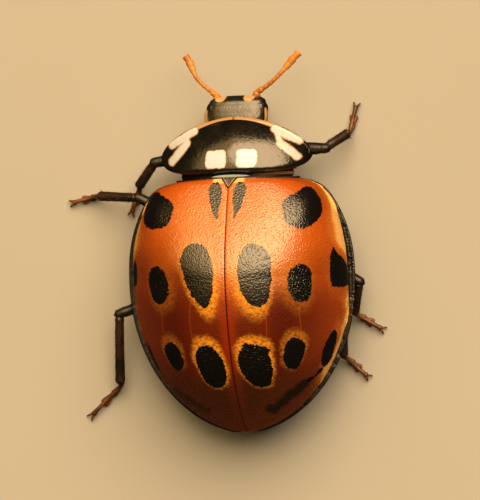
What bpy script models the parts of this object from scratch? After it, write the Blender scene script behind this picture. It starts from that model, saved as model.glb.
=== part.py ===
"""An eyed ladybird (Anatis ocellata), life size, standing still on six feet.

Frame: metres, +Z up, the floor at z = 0. The head looks towards -Y, the animal's left side is +X
and its right side is -X. The origin is on the floor, under the middle of the whole outline.

Every length below is in millimetres and is turned into metres when a mesh is made. The body is
laid out from its own midline (x = 0) and from the widest station of the back (y = 0), then moved
by MIDLINE_X and WIDEST_Y, which centre the spread of legs and feelers on the origin.
"""
import math

import bmesh
import bpy
import numpy as np

# ---- driving dimensions, in millimetres -------------------------------------------------------
MM = 0.001
MIDLINE_X = -0.640          # where the body's midline stands, because the left legs reach further
WIDEST_Y = 0.959            # where the widest station of the back stands
CUT = 0.045                 # thin cut between neighbouring pieces

RIM_Z = 1.40                # height of the wing cases' side margin
BACK_FRONT = -2.60          # front edge of the wing cases, before the widest station
BACK_REAR = 4.10            # tip of the wing cases, behind the widest station
BACK_HALF = 3.02            # half of the width over both wing cases
BACK_RISE = 2.60            # height of the back above the side margin
SHELL = 0.50                # wall of a wing case
SUTURE = 0.02               # half of the seam between the two wing cases
NOTCH_HALF = 0.22           # half-width of the notch that the scutellum fills
NOTCH_LENGTH = 0.28

SHIELD_SIDE_Y = -3.18       # widest station of the neck shield
SHIELD_HALF = 2.005
SHIELD_FORE = 1.04          # from the widest station to the front tip
SHIELD_AFT = 0.47           # and to the rear edge
SHIELD_RIM_Z = 1.78         # side rim at the rear
SHIELD_RIM_DROP = 0.40      # and how far it falls towards the head
SHIELD_RISE = 0.77          # midline height above the side rim, at the rear
SHIELD_RISE_DROP = 0.40

BELLY_Z = 0.85              # lowest line of the trunk
NECK_HALF = 0.93            # half-width of the trunk's front end, under the shield
WAIST_Y = 0.27              # thin cut between the thorax and the abdomen
NECK_Y = -3.84              # and between the head and the front of the thorax

FEMUR_R = 0.245
TIBIA_R = 0.225
TARSUS_HALF = 0.21
TARSUS_HEIGHT = 0.40
FEELER_R = 0.20


# ---- materials and mesh helpers ---------------------------------------------------------------
def material(name, colour, roughness, metallic=0.0):
    """A plain Principled material."""
    made = bpy.data.materials.new(name)
    made.use_nodes = True
    shader = made.node_tree.nodes["Principled BSDF"]
    shader.inputs["Base Color"].default_value = (*colour, 1.0)
    shader.inputs["Roughness"].default_value = roughness
    shader.inputs["Metallic"].default_value = metallic
    return made


def finish(name, bm, look):
    """Turns a bmesh in millimetres into a smooth-shaded object in metres, faces pointing out."""
    bmesh.ops.recalc_face_normals(bm, faces=bm.faces)
    bmesh.ops.translate(bm, verts=bm.verts, vec=(MIDLINE_X, WIDEST_Y, 0.0))
    bmesh.ops.scale(bm, verts=bm.verts, vec=(MM, MM, MM))
    mesh = bpy.data.meshes.new(name)
    bm.to_mesh(mesh)
    bm.free()
    mesh.materials.append(look)
    mesh.shade_smooth()
    mesh.set_sharp_from_angle(angle=math.radians(50))
    made = bpy.data.objects.new(name, mesh)
    bpy.context.scene.collection.objects.link(made)
    return made


def loft(name, rings, look):
    """A closed body through equal rings of points, with a fan of faces over each end."""
    bm = bmesh.new()
    rows = [[bm.verts.new(point) for point in ring] for ring in rings]
    count = len(rows[0])
    for near, far in zip(rows, rows[1:]):
        for i in range(count):
            j = (i + 1) % count
            bm.faces.new((near[i], near[j], far[j], far[i]))
    for row in (rows[0], rows[-1]):
        middle = bm.verts.new(np.mean([vert.co for vert in row], axis=0))
        for i in range(count):
            bm.faces.new((middle, row[i], row[(i + 1) % count]))
    return finish(name, bm, look)


def slab(name, upper, lower, look):
    """A closed body between two sheets of points of one grid size, walled round the border."""
    bm = bmesh.new()
    rows, columns = upper.shape[:2]
    sheets = []
    for sheet in (upper, lower):
        verts = [[bm.verts.new(point) for point in row] for row in sheet]
        sheets.append(verts)
        for i in range(rows - 1):
            for j in range(columns - 1):
                bm.faces.new((verts[i][j], verts[i][j + 1], verts[i + 1][j + 1], verts[i + 1][j]))
    border = [(0, j) for j in range(columns - 1)]
    border += [(i, columns - 1) for i in range(rows - 1)]
    border += [(rows - 1, j) for j in range(columns - 1, 0, -1)]
    border += [(i, 0) for i in range(rows - 1, 0, -1)]
    top, under = sheets
    for (i, j), (k, m) in zip(border, border[1:] + border[:1]):
        bm.faces.new((top[i][j], top[k][m], under[k][m], under[i][j]))
    return finish(name, bm, look)


def spaced(low, high, count):
    """Stations from low to high, closer together towards both ends."""
    return low + (high - low) * (1.0 - np.cos(np.linspace(0.0, math.pi, count))) / 2.0


# ---- the back: one domed surface shared by the wing cases and what lies under them -------------
def back_plain(y):
    """Half-width of the back with square shoulders: a blunt front and a rear with a soft tip."""
    fore = np.clip(y / BACK_FRONT, 0.0, 1.0)
    rear = np.clip(y / BACK_REAR, 0.0, 1.0)
    return BACK_HALF * np.where(y < 0.0, 1.0 - 0.30 * fore**2.4, (1.0 - rear**2.1) ** 0.55)


def back_half(y):
    """Half-width of the back with its shoulders rounded off."""
    return back_plain(y) * (1.0 - np.clip(y / BACK_FRONT, 0.0, 1.0) ** 22) ** 0.25


def back_rise(y):
    """Height of the midline above the side margin: 0.565 of the full height in front, 0 at the tip.

    In front its slope grows as 1 - (1 - share)^3, so the fall is that slope added up.
    """
    fore = np.clip(y / BACK_FRONT, 0.0, 1.0)
    rear = np.clip(y / BACK_REAR, 0.0, 1.0)
    fall = 0.58 * (fore - 0.25 * (1.0 - (1.0 - fore) ** 4))
    return BACK_RISE * np.where(y < 0.0, 1.0 - fall, (1.0 - rear**2.2) ** 0.75)


def back_arch(share, y):
    """Height across the back as a share of its middle, from the midline (0) to the foot (1).

    The top is flatter and the sides steeper towards the front, which squares the shoulders.
    """
    fore = np.clip(y / BACK_FRONT, 0.0, 1.0)
    return (1.0 - np.clip(share, 0.0, 1.0) ** (2.5 + 1.8 * fore)) ** (0.64 - 0.13 * fore)


def inner_half(y, inset):
    """Half-width drawn in by inset, but by less at the rounded shoulders."""
    return np.minimum(back_plain(y) - inset, back_half(y) - 0.3 * inset)


def dome(y, share, inset):
    """Points of the back at station y, drawn in by inset all round."""
    rise = np.maximum(back_rise(y) - inset, 0.05)
    return inner_half(y, inset) * share, RIM_Z + rise * back_arch(share, y)


def seam(y):
    """Where a wing case starts beside the midline: it leaves a notch for the scutellum."""
    return SUTURE + NOTCH_HALF * np.clip(1.0 - (y - BACK_FRONT) / NOTCH_LENGTH, 0.0, 1.0)


def wing_case(name, side, look):
    """A domed shell: outer sheet, inner sheet and, between their side edges, the flat underfold."""
    rows, columns = 23, 14
    shares = np.sin(np.linspace(0.0, math.pi / 2, columns))
    sheets = []
    for inset, tip in ((0.0, 0.03), (SHELL, 0.58)):
        sheet = np.zeros((rows, columns, 3))
        for i, y in enumerate(spaced(BACK_FRONT + 0.01, BACK_REAR - tip, rows)):
            start = seam(y) / inner_half(y, inset)
            x, z = dome(y, start + (1.0 - start) * shares, inset)
            sheet[i] = np.stack((side * x, np.full(columns, y), z), axis=1)
        sheets.append(sheet)
    return slab(name, sheets[0], sheets[1], look)


def scutellum(look):
    """The small black triangle between the wing cases, with the narrow strip in front of it."""
    stations = BACK_FRONT + np.array([-0.085, -0.035, 0.0, NOTCH_LENGTH - 0.06])
    halves = (0.44, 0.48, NOTCH_HALF - CUT + SUTURE, SUTURE / 2)
    across = np.linspace(-1.0, 1.0, 5)
    top = np.zeros((4, 5, 3))
    for i, (y, half) in enumerate(zip(stations, halves)):
        level = RIM_Z + back_rise(max(y, BACK_FRONT)) - (0.14 if i < 2 else 0.0)
        top[i] = [(half * s, y, level - 0.05 * (half * s) ** 2) for s in across]
    under = top.copy()
    under[:, :, 2] -= 0.45
    return slab("scutellum", top, under, look)


# ---- the neck shield ---------------------------------------------------------------------------
def shield_front(x):
    share = np.clip(np.abs(x) / SHIELD_HALF, 0.0, 1.0)
    return SHIELD_SIDE_Y - SHIELD_FORE * (1.0 - share**1.7) ** 0.58


def shield_rear(x):
    share = np.clip(np.abs(x) / SHIELD_HALF, 0.0, 1.0)
    return SHIELD_SIDE_Y + SHIELD_AFT * (1.0 - share**4.3) ** 0.5


def shield_top(x, y):
    """Height of the shield: arched across, and falling ever more steeply towards the head."""
    share = np.clip(np.abs(x) / SHIELD_HALF, 0.0, 1.0)
    along = np.clip((SHIELD_SIDE_Y + SHIELD_AFT - y) / (SHIELD_FORE + SHIELD_AFT), 0.0, 1.0)
    rim = SHIELD_RIM_Z - SHIELD_RIM_DROP * along**2
    return rim + (SHIELD_RISE - SHIELD_RISE_DROP * along**2.6) * (1.0 - share**2) ** 0.8


def shield_under(x, y):
    """Underside of the shield: 0.2 mm thick at the rim and front, 0.45 mm in the middle behind."""
    share = np.clip(np.abs(x) / SHIELD_HALF, 0.0, 1.0)
    behind = np.clip((y - SHIELD_SIDE_Y + SHIELD_FORE) / (SHIELD_FORE + SHIELD_AFT), 0.0, 1.0)
    return shield_top(x, y) - 0.20 - 0.25 * (1.0 - share**2) * behind


def pronotum(look):
    """The black neck shield over the front of the thorax."""
    xs = SHIELD_HALF * np.sin(np.linspace(-math.pi / 2, math.pi / 2, 23)) * 0.998
    sheets = []
    for level in (shield_top, shield_under):
        sheet = np.zeros((9, len(xs), 3))
        for j, x in enumerate(xs):
            y = spaced(shield_front(x), shield_rear(x), 9)
            sheet[:, j] = np.stack((np.full(9, x), y, level(x, y)), axis=1)
        sheets.append(sheet)
    return slab("pronotum", sheets[0], sheets[1], look)


# ---- the trunk under the shield and the wing cases ----------------------------------------------
def belly(x, y):
    """Underside of the trunk: lowest along the midline, rising to the sides and to the tail."""
    return BELLY_Z + 0.42 * (x / 2.4) ** 2 + 0.05 * np.clip(y - 1.0, 0.0, 4.0) ** 2


def prothorax(look):
    """The ring that carries the head, the shield and the front legs."""
    shares = np.sin(np.linspace(-math.pi / 2, math.pi / 2, 11))
    ys = np.linspace(NECK_Y + CUT, BACK_FRONT - 0.18, 6)
    top = np.zeros((6, 11, 3))
    under = top.copy()
    for i, y in enumerate(ys):
        half = 1.05 + 0.56 * math.sin(math.pi * 0.6 * i / 5)
        x = half * shares
        top[i] = np.stack((x, np.full(11, y), shield_under(x, y) - CUT), axis=1)
        under[i] = np.stack((x, np.full(11, y), belly(x, y) + 0.08), axis=1)
    return slab("prothorax", top, under, look)


def trunk(name, stations, look):
    """A length of the trunk, filling the hollow of the wing cases down to the belly."""
    shares = np.sin(np.linspace(-math.pi / 2, math.pi / 2, 15))
    top = np.zeros((len(stations), 15, 3))
    under = top.copy()
    for i, y in enumerate(stations):
        x, z = dome(y, np.abs(shares), SHELL + CUT)
        x = x * np.sign(shares)
        if y <= BACK_FRONT:  # the neck, which runs in under the shield
            x = NECK_HALF * shares
            z = np.minimum(z, shield_under(x, y) - 0.1)
        top[i] = np.stack((x, np.full(15, y), np.maximum(z, belly(x, y) + 0.1)), axis=1)
        under[i] = np.stack((x, np.full(15, y), belly(x, y)), axis=1)
    return slab(name, top, under, look)


# ---- the head -----------------------------------------------------------------------------------
def ring(centre, across, up, half_across, half_up, count):
    """An oval of points round centre, spanned by two directions."""
    turn = np.linspace(0.0, 2.0 * math.pi, count, endpoint=False)
    return (np.asarray(centre) + half_across * np.cos(turn)[:, None] * np.asarray(across)
            + half_up * np.sin(turn)[:, None] * np.asarray(up))


def head(look):
    """The capsule: broad behind, its face sloping down and forward to the mouth."""
    stations = (  # y, middle height, half-width, half-height
        (NECK_Y, 1.15, 0.55, 0.34),
        (-4.00, 1.13, 0.66, 0.39),
        (-4.20, 1.12, 0.64, 0.40),
        (-4.42, 1.10, 0.63, 0.41),
        (-4.62, 1.05, 0.56, 0.38),
        (-4.73, 1.00, 0.40, 0.26),
    )
    return loft("head", [ring((0, y, z), (1, 0, 0), (0, 0, 1), w, h, 16)
                         for y, z, w, h in stations], look)


def eye(name, side, look):
    """A bulging compound eye on the side of the capsule."""
    stations = ((0.69, 0.25, 0.29), (0.75, 0.25, 0.29), (0.81, 0.18, 0.22), (0.84, 0.09, 0.11))
    return loft(name, [ring((side * x, -4.39, 1.17), (0, 1, 0), (0, 0, 1), w, h, 12)
                       for x, w, h in stations], look)


def labrum(look):
    """The upper lip, a short plate across the mouth."""
    stations = ((-4.83, 0.16, 0.05), (-4.79, 0.22, 0.08), (-4.765, 0.24, 0.10))
    return loft("labrum", [ring((0, y, 0.82), (1, 0, 0), (0, 0, 1), w, h, 10)
                           for y, w, h in stations], look)


def along(points, radii, count, squash=1.0):
    """Rings square to a path. Each ring's up direction stays as near +Z as the path allows."""
    points = [np.asarray(point, float) for point in points]
    rings = []
    for i, (point, radius) in enumerate(zip(points, radii)):
        heading = points[min(i + 1, len(points) - 1)] - points[max(i - 1, 0)]
        heading = heading / np.linalg.norm(heading)
        across = np.cross(heading, (0.0, 0.0, 1.0))
        across = across / np.linalg.norm(across)
        rings.append(ring(point, across, np.cross(across, heading), radius, radius * squash, count))
    return rings


def smooth(points, count):
    """A Catmull-Rom curve through the points, read at equal steps."""
    points = [np.asarray(point, float) for point in points]
    ends = [2 * points[0] - points[1], *points, 2 * points[-1] - points[-2]]
    out = []
    for step in np.linspace(0.0, len(points) - 1 - 1e-9, count):
        i = int(step)
        t = step - i
        a, b, c, d = ends[i:i + 4]
        out.append(0.5 * (2 * b + (c - a) * t + (2 * a - 5 * b + 4 * c - d) * t**2
                          + (3 * b - a - 3 * c + d) * t**3))
    return out


def antenna(name, side, points, look):
    """A feeler, thicker towards its club."""
    path = smooth([(side * x, y, z) for x, y, z in points], 11)
    radii = [FEELER_R * r for r in (0.62, 0.8, 0.9, 0.95, 1, 1, 1.05, 1.15, 1.25, 1.2, 0.7)]
    return loft(name, along(path, radii, 8), look)


def palp(name, side, look):
    """A mouth feeler under the face, ending in a broad axe-shaped joint."""
    points = [(0.42, -4.50, 0.58), (0.52, -4.66, 0.48), (0.58, -4.80, 0.36)]
    path = smooth([(side * x, y, z) for x, y, z in points], 5)
    return loft(name, along(path, (0.10, 0.12, 0.14, 0.19, 0.17), 8), look)


# ---- the legs -----------------------------------------------------------------------------------
# hip, knee, ankle and toe points of each leg, x outward from the midline
LEGS = {
    "left_front": (1, [(0.55, -3.33), (2.28, -3.12, 0.98), (2.85, -2.52, 0.48),
                       (3.05, -2.15), (3.15, -1.78)]),
    "left_middle": (1, [(0.72, -1.10), (2.76, -2.20, 1.00), (3.95, -2.28, 0.48),
                        (4.40, -2.24), (4.80, -2.13)]),
    "left_hind": (1, [(0.72, 0.03), (3.40, 0.84, 1.00), (3.55, 2.70, 0.48),
                      (4.02, 3.22), (4.50, 3.60)]),
    "right_front": (-1, [(0.55, -3.33), (2.27, -3.31, 1.00), (2.82, -3.68, 0.48),
                         (2.93, -4.05), (3.02, -4.47)]),
    "right_middle": (-1, [(0.72, -1.10), (3.05, 0.22, 1.00), (2.82, 1.06, 0.48),
                          (3.14, 1.36), (3.52, 1.50)]),
    "right_hind": (-1, [(0.72, 0.03), (2.58, 0.58, 0.94), (2.48, 2.20, 0.48),
                        (2.76, 2.50), (3.08, 2.78)]),
}
COXA_R = 0.26
COXA_HALF_HEIGHT = 0.20


def unit(vector):
    return vector / np.linalg.norm(vector)


def coxa(name, centre, look):
    """The knob that seats a leg against the underside."""
    levels = np.linspace(-0.9, 0.9, 5)
    rings = [ring(centre + (0, 0, COXA_HALF_HEIGHT * s), (1, 0, 0), (0, 1, 0),
                  COXA_R * math.sqrt(1 - s * s), COXA_R * math.sqrt(1 - s * s), 10) for s in levels]
    return loft(name, rings, look)


def femur(name, hip, knee, look):
    """The thigh: swollen before the middle, round at the knee."""
    heading = unit(knee - hip)
    start = hip + heading * (COXA_R + CUT)
    reach = np.linalg.norm(knee - start)
    steps = (0.0, 0.12 * reach, 0.35 * reach, 0.65 * reach, reach - 0.1, reach + 0.04, reach + 0.13,
             reach + 0.17)
    radii = [FEMUR_R * r for r in (0.62, 0.86, 1.0, 0.96, 0.84, 0.78, 0.52, 0.22)]
    return loft(name, along([start + heading * step for step in steps], radii, 10), look)


def tibia(name, knee, ankle, look):
    """The shin, clear of the knee and ending just above the foot."""
    heading = unit(ankle - knee)
    start = knee + heading * (0.80 * FEMUR_R + CUT)
    shares = (0.0, 0.12, 0.5, 0.9, 1.0)
    radii = [TIBIA_R * r for r in (0.66, 0.86, 0.95, 1.0, 0.72)]
    return loft(name, along([start + (ankle - start) * s for s in shares], radii, 10), look)


def tarsus(name, ankle, toes, look):
    """The foot: a bar with rounded top edges, flat on the floor."""
    path = smooth([np.array([*ankle[:2], 0.0]), *toes], 6)
    profile = np.array([(-0.85, 0), (0.85, 0), (1, 0.3), (0.9, 0.75), (0.45, 1), (-0.45, 1),
                        (-0.9, 0.75), (-1, 0.3)])
    rings = []
    for i, point in enumerate(path):
        heading = unit(path[min(i + 1, 5)] - path[max(i - 1, 0)])
        across = np.array([heading[1], -heading[0], 0.0])
        size = (0.68, 0.85, 1.0, 1.0, 0.9, 0.55)[i]
        rings.append([point + across * (TARSUS_HALF * size * u) + np.array([0, 0, TARSUS_HEIGHT * size * v])
                      for u, v in profile])
    return loft(name, rings, look)


def leg(place, side, points, looks):
    """One leg from its seat under the trunk to its toe."""
    (hip_x, hip_y), knee, ankle, *toes = points
    under = BELLY_Z if hip_y > BACK_FRONT else BELLY_Z + 0.08
    hip_z = under + 0.42 * (hip_x / 2.4) ** 2 - CUT - COXA_HALF_HEIGHT
    hip = np.array([side * hip_x, hip_y, hip_z])
    knee = np.array([side * knee[0], *knee[1:]])
    ankle = np.array([side * ankle[0], *ankle[1:]])
    toes = [np.array([side * x, y, 0.0]) for x, y in toes]
    coxa(f"coxa_{place}", hip, looks["black"])
    femur(f"femur_{place}", hip, knee, looks["black"])
    tibia(f"tibia_{place}", knee, ankle, looks["black"])
    tarsus(f"tarsus_{place}", ankle, toes, looks["rust"])


# ---- build --------------------------------------------------------------------------------------
for old in list(bpy.data.objects):
    bpy.data.objects.remove(old)

LOOKS = {
    "orange": material("elytron_orange", (0.52, 0.065, 0.006), 0.28),
    "black": material("cuticle_black", (0.012, 0.011, 0.012), 0.35),
    "shield": material("shield_black", (0.008, 0.008, 0.010), 0.22),
    "eye": material("eye_dark", (0.015, 0.012, 0.010), 0.20),
    "rust": material("foot_rust", (0.24, 0.08, 0.022), 0.45),
    "feeler": material("feeler_orange", (0.45, 0.14, 0.035), 0.40),
}

wing_case("elytron_left", 1, LOOKS["orange"])
wing_case("elytron_right", -1, LOOKS["orange"])
scutellum(LOOKS["black"])
pronotum(LOOKS["shield"])
prothorax(LOOKS["black"])
trunk("thorax", [BACK_FRONT - 0.135, BACK_FRONT, *np.linspace(BACK_FRONT + 0.05, WAIST_Y - CUT / 2, 7)],
      LOOKS["black"])
trunk("abdomen", np.linspace(WAIST_Y + CUT / 2, BACK_REAR - 0.64, 9), LOOKS["black"])
head(LOOKS["black"])
labrum(LOOKS["black"])
for word, sign in (("left", 1), ("right", -1)):
    eye(f"eye_{word}", sign, LOOKS["eye"])
    palp(f"palp_{word}", sign, LOOKS["rust"])
antenna("antenna_left", 1, [(0.54, -4.86, 1.12), (0.80, -5.02, 1.28), (1.07, -5.32, 1.36),
                            (1.20, -5.65, 1.30), (1.26, -5.93, 1.18)], LOOKS["feeler"])
antenna("antenna_right", -1, [(0.54, -4.86, 1.12), (0.90, -5.04, 1.30), (1.25, -5.33, 1.40),
                              (1.52, -5.61, 1.38), (1.73, -5.90, 1.28)], LOOKS["feeler"])
for spot, (direction, joints) in LEGS.items():
    leg(spot, direction, joints, LOOKS)
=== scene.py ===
"""An eyed ladybird (Anatis ocellata), life size, as a museum model: its looks, built round the CAD frame.

Shapes are worked out in body millimetres: x from the midline (the animal's left is +x), y from the
widest station of the back (the head is towards -y) and z up from the floor. placed() turns them
into the frame's metres.
"""
import math
from functools import reduce

import bpy
import numpy as np
from mathutils import Matrix, Vector


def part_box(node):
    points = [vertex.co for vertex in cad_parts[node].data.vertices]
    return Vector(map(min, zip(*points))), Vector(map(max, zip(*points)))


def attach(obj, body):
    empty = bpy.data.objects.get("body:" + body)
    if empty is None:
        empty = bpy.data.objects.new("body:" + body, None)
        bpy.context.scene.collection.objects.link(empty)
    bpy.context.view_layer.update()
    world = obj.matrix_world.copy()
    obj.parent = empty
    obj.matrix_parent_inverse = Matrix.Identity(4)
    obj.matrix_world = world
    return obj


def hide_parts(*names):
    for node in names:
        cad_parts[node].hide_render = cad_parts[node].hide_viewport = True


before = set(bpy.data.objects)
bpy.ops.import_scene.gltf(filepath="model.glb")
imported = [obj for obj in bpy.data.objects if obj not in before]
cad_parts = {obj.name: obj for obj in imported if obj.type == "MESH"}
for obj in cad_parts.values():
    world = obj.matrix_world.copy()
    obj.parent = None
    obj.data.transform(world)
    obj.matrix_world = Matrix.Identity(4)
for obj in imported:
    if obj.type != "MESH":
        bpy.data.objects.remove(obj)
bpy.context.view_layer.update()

# ==== Body axes ==================================================================================
# The body is one dome on a midline. Where the midline and the widest station stand, and how wide
# and high the dome is, are read from the two wing cases of the frame.
MM = 0.001
WIDEST_SHARE = 0.3889       # of the wing cases' length lies before the widest station
left_case = [np.array(corner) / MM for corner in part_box("elytron_left")]
right_case = [np.array(corner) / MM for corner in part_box("elytron_right")]
case_length = left_case[1][1] - left_case[0][1]
MID_X = (left_case[0][0] + right_case[1][0]) / 2
WIDE_Y = left_case[0][1] + WIDEST_SHARE * case_length
BACK_FRONT = left_case[0][1] - WIDE_Y - 0.01
BACK_REAR = left_case[1][1] - WIDE_Y + 0.03
BACK_HALF = left_case[1][0] - MID_X
RIM_Z = left_case[0][2]
BACK_RISE = left_case[1][2] - RIM_Z
SIDES = (("left", 1), ("right", -1))


def placed(points):
    """Body millimetres to frame metres."""
    return (points + np.array([MID_X, WIDE_Y, 0.0])) * MM


def body_box(node):
    """Lowest and highest corner of a CAD node in body millimetres."""
    return [np.array(corner) / MM - np.array([MID_X, WIDE_Y, 0.0]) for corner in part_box(node)]


# ==== Wing cases =================================================================================
# Two domed shells of hard, glossy cuticle, 0.12 mm thick, that meet along the midline. Each has a
# turned-out gutter and lip along its side, and an underfold below the lip that rests on the trunk.
WALL = 0.12                 # wall of the shell
GUTTER = 0.135              # width of the gutter along the side
GUTTER_Z = RIM_Z + 0.085
GUTTER_TURN_UP = 0.045      # how far the lip stands above the gutter
LIP_R = 0.055
FILLET = 0.10               # rounding between dome and gutter
UNDERFOLD = 0.38
NOTCH_HALF = 0.22           # notch for the scutellum
NOTCH_LENGTH = 0.28
SEAM_DEPTH = 0.014          # how far the shell sinks beside the seam
FRONT_ROLL = 0.10           # how far its front edge rolls down
SHOULDER = 0.085            # height of the bump on the shoulder
CASE_ROWS = 290
CASE_COLUMNS = 236          # of points across its top, of which the last are closer, round the lip
LIP_COLUMNS = 36
LIP_SHARE = 0.055
FOLD_STEPS = 13


def ramp(value, start, end):
    """How far a value is from start to end, from 0 to 1."""
    return np.clip((value - start) / (end - start), 0.0, 1.0)


def bell(value, middle, width):
    """1 at the middle, falling off to both sides as exp(-distance^2), with the distance in widths."""
    return np.exp(-(((value - middle) / width) ** 2))


def back_plain(y):
    """Half-width of the back: blunt in front, and a power curve to a soft tip behind."""
    fore, rear = ramp(y, 0.0, BACK_FRONT), ramp(y, 0.0, BACK_REAR)
    return BACK_HALF * np.where(y < 0.0, 1.0 - 0.30 * fore**2.4, (1.0 - rear**2.1) ** 0.55)


def back_half(y):
    """Half-width of the back with the shoulders rounded off."""
    return back_plain(y) * (1.0 - ramp(y, 0.0, BACK_FRONT) ** 22) ** 0.25


def back_rise(y):
    """Height of the midline above the side margin: 0.565 of the full height in front, 0 at the tip.

    In front its slope grows as 1 - (1 - share)^3, so the fall is that slope added up.
    """
    fore, rear = ramp(y, 0.0, BACK_FRONT), ramp(y, 0.0, BACK_REAR)
    fall = 0.58 * (fore - 0.25 * (1.0 - (1.0 - fore) ** 4))
    return BACK_RISE * np.where(y < 0.0, 1.0 - fall, (1.0 - rear**2.2) ** 0.75)


def back_arch(share, y):
    """Height across the back as a share of its middle, from the midline (0) to the foot (1).

    The top is flatter and the sides steeper towards the front, which squares the shoulders.
    """
    fore = ramp(y, 0.0, BACK_FRONT)
    return (1.0 - np.clip(share, 0.0, 1.0) ** (2.5 + 1.8 * fore)) ** (0.64 - 0.13 * fore)


def profile(at, stations, values):
    """A smooth line through (station, value) pairs: a cubic between each two, sloped by both neighbours."""
    stations, values = np.asarray(stations, float), np.asarray(values, float)
    slopes = np.gradient(values, stations)
    at = np.clip(at, stations[0], stations[-1])
    i = np.clip(np.searchsorted(stations, at, side="right") - 1, 0, len(stations) - 2)
    width = stations[i + 1] - stations[i]
    t = (at - stations[i]) / width
    return (values[i] * (1 + 2 * t) * (1 - t) ** 2 + values[i + 1] * t**2 * (3 - 2 * t)
            + width * (slopes[i] * t * (1 - t) ** 2 - slopes[i + 1] * t**2 * (1 - t)))


def run_length(rows):
    """Length along each row of points from its first point."""
    steps = np.linalg.norm(np.diff(rows, axis=1), axis=2)
    return np.concatenate([np.zeros((len(rows), 1)), np.cumsum(steps, axis=1)], axis=1)


def spread(rows, shares):
    """Each row of points read again at the given shares of its own length."""
    run = run_length(rows)
    return np.stack([[np.interp(have[-1] * shares, have, way) for have, way in zip(run, rows[:, :, k])]
                     for k in range(rows.shape[2])], axis=2)


def unit(vectors):
    """Vectors made one long."""
    return vectors / np.maximum(np.linalg.norm(vectors, axis=-1, keepdims=True), 1e-12)


def outward(grid):
    """Unit normals of a grid of points: the cross product of its two directions."""
    return unit(np.cross(np.gradient(grid, axis=1), np.gradient(grid, axis=0)))


def grid_of(*ways):
    """A grid of points from its coordinates, where one row or column stands for the whole grid."""
    return np.stack(np.broadcast_arrays(*ways), axis=2)


def closer_ends(count):
    """Steps from 0 to 1 that lie closer together at both ends."""
    return (1 - np.cos(np.linspace(0, math.pi, count))) / 2


def rough(points, size, seed):
    """Smooth random heights from -1 to 1: a cube of random numbers, knots size apart, eased between."""
    cells = 48
    knots = np.random.default_rng(seed).uniform(-1.0, 1.0, (cells, cells, cells))
    place = np.asarray(points) / size
    low = np.floor(place).astype(int)
    ease = place - low
    ease = ease * ease * (3 - 2 * ease)
    total = 0.0
    for corner in np.ndindex(2, 2, 2):
        share = np.prod(np.where(np.array(corner) == 1, ease, 1 - ease), axis=-1)
        i, j, k = np.moveaxis((low + corner) % cells, -1, 0)
        total = total + share * knots[i, j, k]
    return total


def mesh_piece(name, points, quads, triangles, look, nodes, maps=None):
    """A closed, smooth mesh in frame metres, turned right side out, riding on the one body.

    quads and triangles are rows of point numbers, and maps gives a UV pair for each point. The mesh
    is right side out if its volume, added up from its triangles, is above 0.
    """
    quads = np.reshape(quads, (-1, 4)).astype(int)
    triangles = np.reshape(triangles, (-1, 3)).astype(int)
    fans = np.concatenate([quads[:, [0, 1, 2]], quads[:, [0, 2, 3]], triangles])
    a, b, c = (points[fans[:, k]] for k in range(3))
    if np.einsum("ij,ij->", a, np.cross(b, c)) < 0:
        quads, triangles = quads[:, ::-1], triangles[:, ::-1]
    corners = np.concatenate([quads.ravel(), triangles.ravel()])
    sizes = np.concatenate([np.full(len(quads), 4), np.full(len(triangles), 3)])
    mesh = bpy.data.meshes.new(name)
    mesh.vertices.add(len(points))
    mesh.vertices.foreach_set("co", placed(points).ravel())
    mesh.loops.add(len(corners))
    mesh.loops.foreach_set("vertex_index", corners)
    mesh.polygons.add(len(sizes))
    mesh.polygons.foreach_set("loop_start", np.cumsum(sizes) - sizes)
    mesh.update(calc_edges=True)
    for label, pairs in (maps or {}).items():
        mesh.uv_layers.new(name=label).data.foreach_set("uv", pairs[corners].ravel())
    mesh.validate()
    mesh.shade_smooth()
    mesh.materials.append(look)
    piece = bpy.data.objects.new(name, mesh)
    bpy.context.scene.collection.objects.link(piece)
    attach(piece, "root")
    if nodes:
        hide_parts(*nodes)
    return piece


def grid_faces(rows, columns, wrap=False):
    """Quads of a rows x columns grid of points; with wrap, the last column joins the first."""
    i, j = np.meshgrid(np.arange(rows - 1), np.arange(columns if wrap else columns - 1), indexing="ij")
    k = (j + 1) % columns
    return np.stack([i * columns + j, i * columns + k, (i + 1) * columns + k, (i + 1) * columns + j],
                    axis=-1).reshape(-1, 4)


def seam(y):
    """Where a wing case starts beside the midline: a hair's breadth, and the notch in front."""
    return 0.006 + NOTCH_HALF * ramp(y, BACK_FRONT + NOTCH_LENGTH, BACK_FRONT)


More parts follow.
